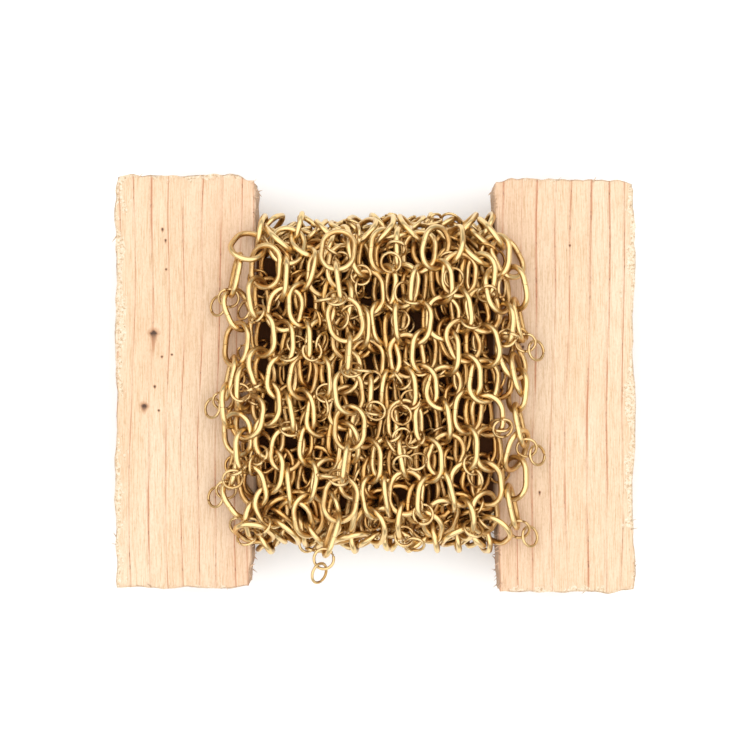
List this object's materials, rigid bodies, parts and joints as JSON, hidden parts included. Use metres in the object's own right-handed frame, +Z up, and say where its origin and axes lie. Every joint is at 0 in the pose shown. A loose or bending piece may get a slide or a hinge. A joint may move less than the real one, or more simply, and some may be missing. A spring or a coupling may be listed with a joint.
{
  "type": "pocket watch chain on a winding board",
  "caption": "Length of antiqued brass oval-link watch chain with dangling small rings, wound on an H-shaped wooden winding board; the free end lifts link by link.",
  "frame": {"origin": "middle of the bounding box at the height of the surface that the wound board lies on", "axes": "+X across the two cheeks, +Y along the wound strands away from the free end, +Z up out of the front face"},
  "size_m": [0.1, 0.08, 0.0328],
  "materials": {
    "sawn_softwood": "matte",
    "oval_link_brass": "satin",
    "small_ring_brass": "satin"
  },
  "bodies": {
    "root": {"fixed_link": "oval_link_brass", "inner_winding": "oval_link_brass", "outer_winding_turn_01": "oval_link_brass", "outer_winding_turn_02": "oval_link_brass", "outer_winding_turn_03": "oval_link_brass", "outer_winding_turn_04": "oval_link_brass", "outer_winding_turn_05": "oval_link_brass", "outer_winding_turn_06": "oval_link_brass", "outer_winding_turn_07": "oval_link_brass", "outer_winding_turn_08": "oval_link_brass", "outer_winding_turn_09": "oval_link_brass", "outer_winding_turn_10": "oval_link_brass", "outer_winding_turn_11": "oval_link_brass", "outer_winding_turn_12": "oval_link_brass", "side_link_left_lower": "oval_link_brass", "side_link_left_middle": "oval_link_brass", "side_link_left_upper": "oval_link_brass", "side_link_right_lower": "oval_link_brass", "side_link_right_middle": "oval_link_brass", "side_link_right_upper": "oval_link_brass", "winding_board": "sawn_softwood"},
    "free_link_1": {"free_link_1": "oval_link_brass"},
    "free_link_1_ring_one": {"free_link_1_ring_one": "small_ring_brass"},
    "free_link_1_ring_two": {"free_link_1_ring_two": "small_ring_brass"},
    "free_link_2": {"free_link_2": "oval_link_brass"},
    "free_link_3": {"free_link_3": "oval_link_brass"},
    "free_link_3_ring_one": {"free_link_3_ring_one": "small_ring_brass"},
    "free_link_3_ring_two": {"free_link_3_ring_two": "small_ring_brass"},
    "free_link_4": {"free_link_4": "oval_link_brass"},
    "free_link_5": {"free_link_5": "oval_link_brass"},
    "free_link_6": {"free_link_6": "oval_link_brass"},
    "free_link_6_ring_one": {"free_link_6_ring_one": "small_ring_brass"},
    "free_link_6_ring_two": {"free_link_6_ring_two": "small_ring_brass"},
    "free_link_7": {"free_link_7": "oval_link_brass"},
    "free_link_8": {"free_link_8": "oval_link_brass"},
    "free_link_8_ring_one": {"free_link_8_ring_one": "small_ring_brass"},
    "free_link_8_ring_two": {"free_link_8_ring_two": "small_ring_brass"},
    "side_link_left_lower_ring_one": {"side_link_left_lower_ring_one": "small_ring_brass"},
    "side_link_left_lower_ring_two": {"side_link_left_lower_ring_two": "small_ring_brass"},
    "side_link_left_middle_ring_one": {"side_link_left_middle_ring_one": "small_ring_brass"},
    "side_link_left_middle_ring_two": {"side_link_left_middle_ring_two": "small_ring_brass"},
    "side_link_left_upper_ring_one": {"side_link_left_upper_ring_one": "small_ring_brass"},
    "side_link_left_upper_ring_two": {"side_link_left_upper_ring_two": "small_ring_brass"},
    "side_link_right_lower_ring_one": {"side_link_right_lower_ring_one": "small_ring_brass"},
    "side_link_right_lower_ring_two": {"side_link_right_lower_ring_two": "small_ring_brass"},
    "side_link_right_middle_ring_one": {"side_link_right_middle_ring_one": "small_ring_brass"},
    "side_link_right_middle_ring_two": {"side_link_right_middle_ring_two": "small_ring_brass"},
    "side_link_right_upper_ring_one": {"side_link_right_upper_ring_one": "small_ring_brass"},
    "side_link_right_upper_ring_two": {"side_link_right_upper_ring_two": "small_ring_brass"}
  },
  "joints": [
    {"name": "free_link_1_swing", "type": "hinge", "parent": "root", "child": "free_link_1", "pos_m": [-0.0073, 0.0219, 0.0284], "axis": [-0.9903, -0.1392, 0], "range_deg": [0, 36]},
    {"name": "free_link_1_ring_one_swing", "type": "hinge", "parent": "free_link_1", "child": "free_link_1_ring_one", "pos_m": [-0.00646, 0.01593, 0.03101], "axis": [-0.118, 0.8398, 0.5299], "range_deg": [0, 55]},
    {"name": "free_link_1_ring_two_swing", "type": "hinge", "parent": "free_link_1_ring_one", "child": "free_link_1_ring_two", "pos_m": [-0.009, 0.01557, 0.03126], "axis": [-0.1675, 0.6763, -0.7173], "range_deg": [0, 62]},
    {"name": "free_link_2_swing", "type": "hinge", "parent": "free_link_1", "child": "free_link_2", "pos_m": [-0.00635, 0.01517, 0.0284], "axis": [-0.9744, -0.225, 0], "range_deg": [0, 36]},
    {"name": "free_link_3_swing", "type": "hinge", "parent": "free_link_2", "child": "free_link_3", "pos_m": [-0.00482, 0.00854, 0.0284], "axis": [-0.9976, 0.0698, 0], "range_deg": [0, 36]},
    {"name": "free_link_3_ring_one_swing", "type": "hinge", "parent": "free_link_3", "child": "free_link_3_ring_one", "pos_m": [-0.00506, 0.00251, 0.031], "axis": [-0.096, -0.8434, -0.5286], "range_deg": [0, 55]},
    {"name": "free_link_3_ring_two_swing", "type": "hinge", "parent": "free_link_3_ring_one", "child": "free_link_3_ring_two", "pos_m": [-0.00251, 0.00233, 0.03126], "axis": [-0.12, -0.6833, 0.7202], "range_deg": [0, 62]},
    {"name": "free_link_4_swing", "type": "hinge", "parent": "free_link_3", "child": "free_link_4", "pos_m": [-0.0053, 0.00176, 0.0284], "axis": [-0.9945, -0.1045, 0], "range_deg": [0, 36]},
    {"name": "free_link_5_swing", "type": "hinge", "parent": "free_link_4", "child": "free_link_5", "pos_m": [-0.00459, -0.00501, 0.0284], "axis": [-0.9986, 0.0523, 0], "range_deg": [0, 36]},
    {"name": "free_link_6_swing", "type": "hinge", "parent": "free_link_5", "child": "free_link_6", "pos_m": [-0.00494, -0.0118, 0.0284], "axis": [-0.9903, 0.1392, 0], "range_deg": [0, 36]},
    {"name": "free_link_6_ring_one_swing", "type": "hinge", "parent": "free_link_6", "child": "free_link_6_ring_one", "pos_m": [-0.00605, -0.01773, 0.03099], "axis": [0.0632, 0.8475, 0.527], "range_deg": [0, 55]},
    {"name": "free_link_6_ring_two_swing", "type": "hinge", "parent": "free_link_6_ring_one", "child": "free_link_6_ring_two", "pos_m": [-0.00858, -0.01737, 0.03125], "axis": [0.0242, 0.6912, -0.7222], "range_deg": [0, 62]},
    {"name": "free_link_7_swing", "type": "hinge", "parent": "free_link_6", "child": "free_link_7", "pos_m": [-0.00589, -0.01853, 0.0284], "axis": [-0.9848, 0.1736, 0], "range_deg": [0, 36]},
    {"name": "free_link_8_swing", "type": "hinge", "parent": "free_link_7", "child": "free_link_8", "pos_m": [-0.00707, -0.02523, 0.0284], "axis": [-0.9511, 0.309, 0], "range_deg": [0, 36]},
    {"name": "free_link_8_ring_one_swing", "type": "hinge", "parent": "free_link_8", "child": "free_link_8_ring_one", "pos_m": [-0.00938, -0.03234, 0.0284], "axis": [-0.1651, 0.0537, -0.9848], "range_deg": [0, 35]},
    {"name": "free_link_8_ring_two_swing", "type": "hinge", "parent": "free_link_8_ring_one", "child": "free_link_8_ring_two", "pos_m": [-0.01018, -0.03479, 0.0284], "axis": [-0.9366, 0.3043, -0.1736], "range_deg": [0, 62]},
    {"name": "side_link_left_lower_ring_one_swing", "type": "hinge", "parent": "root", "child": "side_link_left_lower_ring_one", "pos_m": [-0.02786, -0.01999, 0.02333], "axis": [-0.2034, 0.0432, -0.9781], "range_deg": [0, 55]},
    {"name": "side_link_left_lower_ring_two_swing", "type": "hinge", "parent": "side_link_left_lower_ring_one", "child": "side_link_left_lower_ring_two", "pos_m": [-0.02969, -0.02145, 0.0226], "axis": [-0.6667, 0.6686, 0.3295], "range_deg": [0, 62]},
    {"name": "side_link_left_middle_ring_one_swing", "type": "hinge", "parent": "root", "child": "side_link_left_middle_ring_one", "pos_m": [-0.02845, -0.00299, 0.02333], "axis": [-0.2034, 0.0432, -0.9781], "range_deg": [0, 55]},
    {"name": "side_link_left_middle_ring_two_swing", "type": "hinge", "parent": "side_link_left_middle_ring_one", "child": "side_link_left_middle_ring_two", "pos_m": [-0.03029, -0.00445, 0.0226], "axis": [-0.6667, 0.6686, 0.3295], "range_deg": [0, 62]},
    {"name": "side_link_left_upper_ring_one_swing", "type": "hinge", "parent": "root", "child": "side_link_left_upper_ring_one", "pos_m": [-0.02737, 0.01651, 0.02333], "axis": [-0.2034, 0.0432, -0.9781], "range_deg": [0, 55]},
    {"name": "side_link_left_upper_ring_two_swing", "type": "hinge", "parent": "side_link_left_upper_ring_one", "child": "side_link_left_upper_ring_two", "pos_m": [-0.02921, 0.01505, 0.0226], "axis": [-0.6667, 0.6686, 0.3295], "range_deg": [0, 62]},
    {"name": "side_link_right_lower_ring_one_swing", "type": "hinge", "parent": "root", "child": "side_link_right_lower_ring_one", "pos_m": [0.02701, -0.02749, 0.02333], "axis": [-0.2034, -0.0432, 0.9781], "range_deg": [0, 55]},
    {"name": "side_link_right_lower_ring_two_swing", "type": "hinge", "parent": "side_link_right_lower_ring_one", "child": "side_link_right_lower_ring_two", "pos_m": [0.02884, -0.02895, 0.0226], "axis": [-0.6667, -0.6686, -0.3295], "range_deg": [0, 62]},
    {"name": "side_link_right_middle_ring_one_swing", "type": "hinge", "parent": "root", "child": "side_link_right_middle_ring_one", "pos_m": [0.02839, -0.01199, 0.02333], "axis": [-0.2034, -0.0432, 0.9781], "range_deg": [0, 55]},
    {"name": "side_link_right_middle_ring_two_swing", "type": "hinge", "parent": "side_link_right_middle_ring_one", "child": "side_link_right_middle_ring_two", "pos_m": [0.03023, -0.01345, 0.0226], "axis": [-0.6667, -0.6686, -0.3295], "range_deg": [0, 62]},
    {"name": "side_link_right_upper_ring_one_swing", "type": "hinge", "parent": "root", "child": "side_link_right_upper_ring_one", "pos_m": [0.02819, 0.00801, 0.02333], "axis": [-0.2034, -0.0432, 0.9781], "range_deg": [0, 55]},
    {"name": "side_link_right_upper_ring_two_swing", "type": "hinge", "parent": "side_link_right_upper_ring_one", "child": "side_link_right_upper_ring_two", "pos_m": [0.03002, 0.00655, 0.0226], "axis": [-0.6667, -0.6686, -0.3295], "range_deg": [0, 62]}
  ]
}
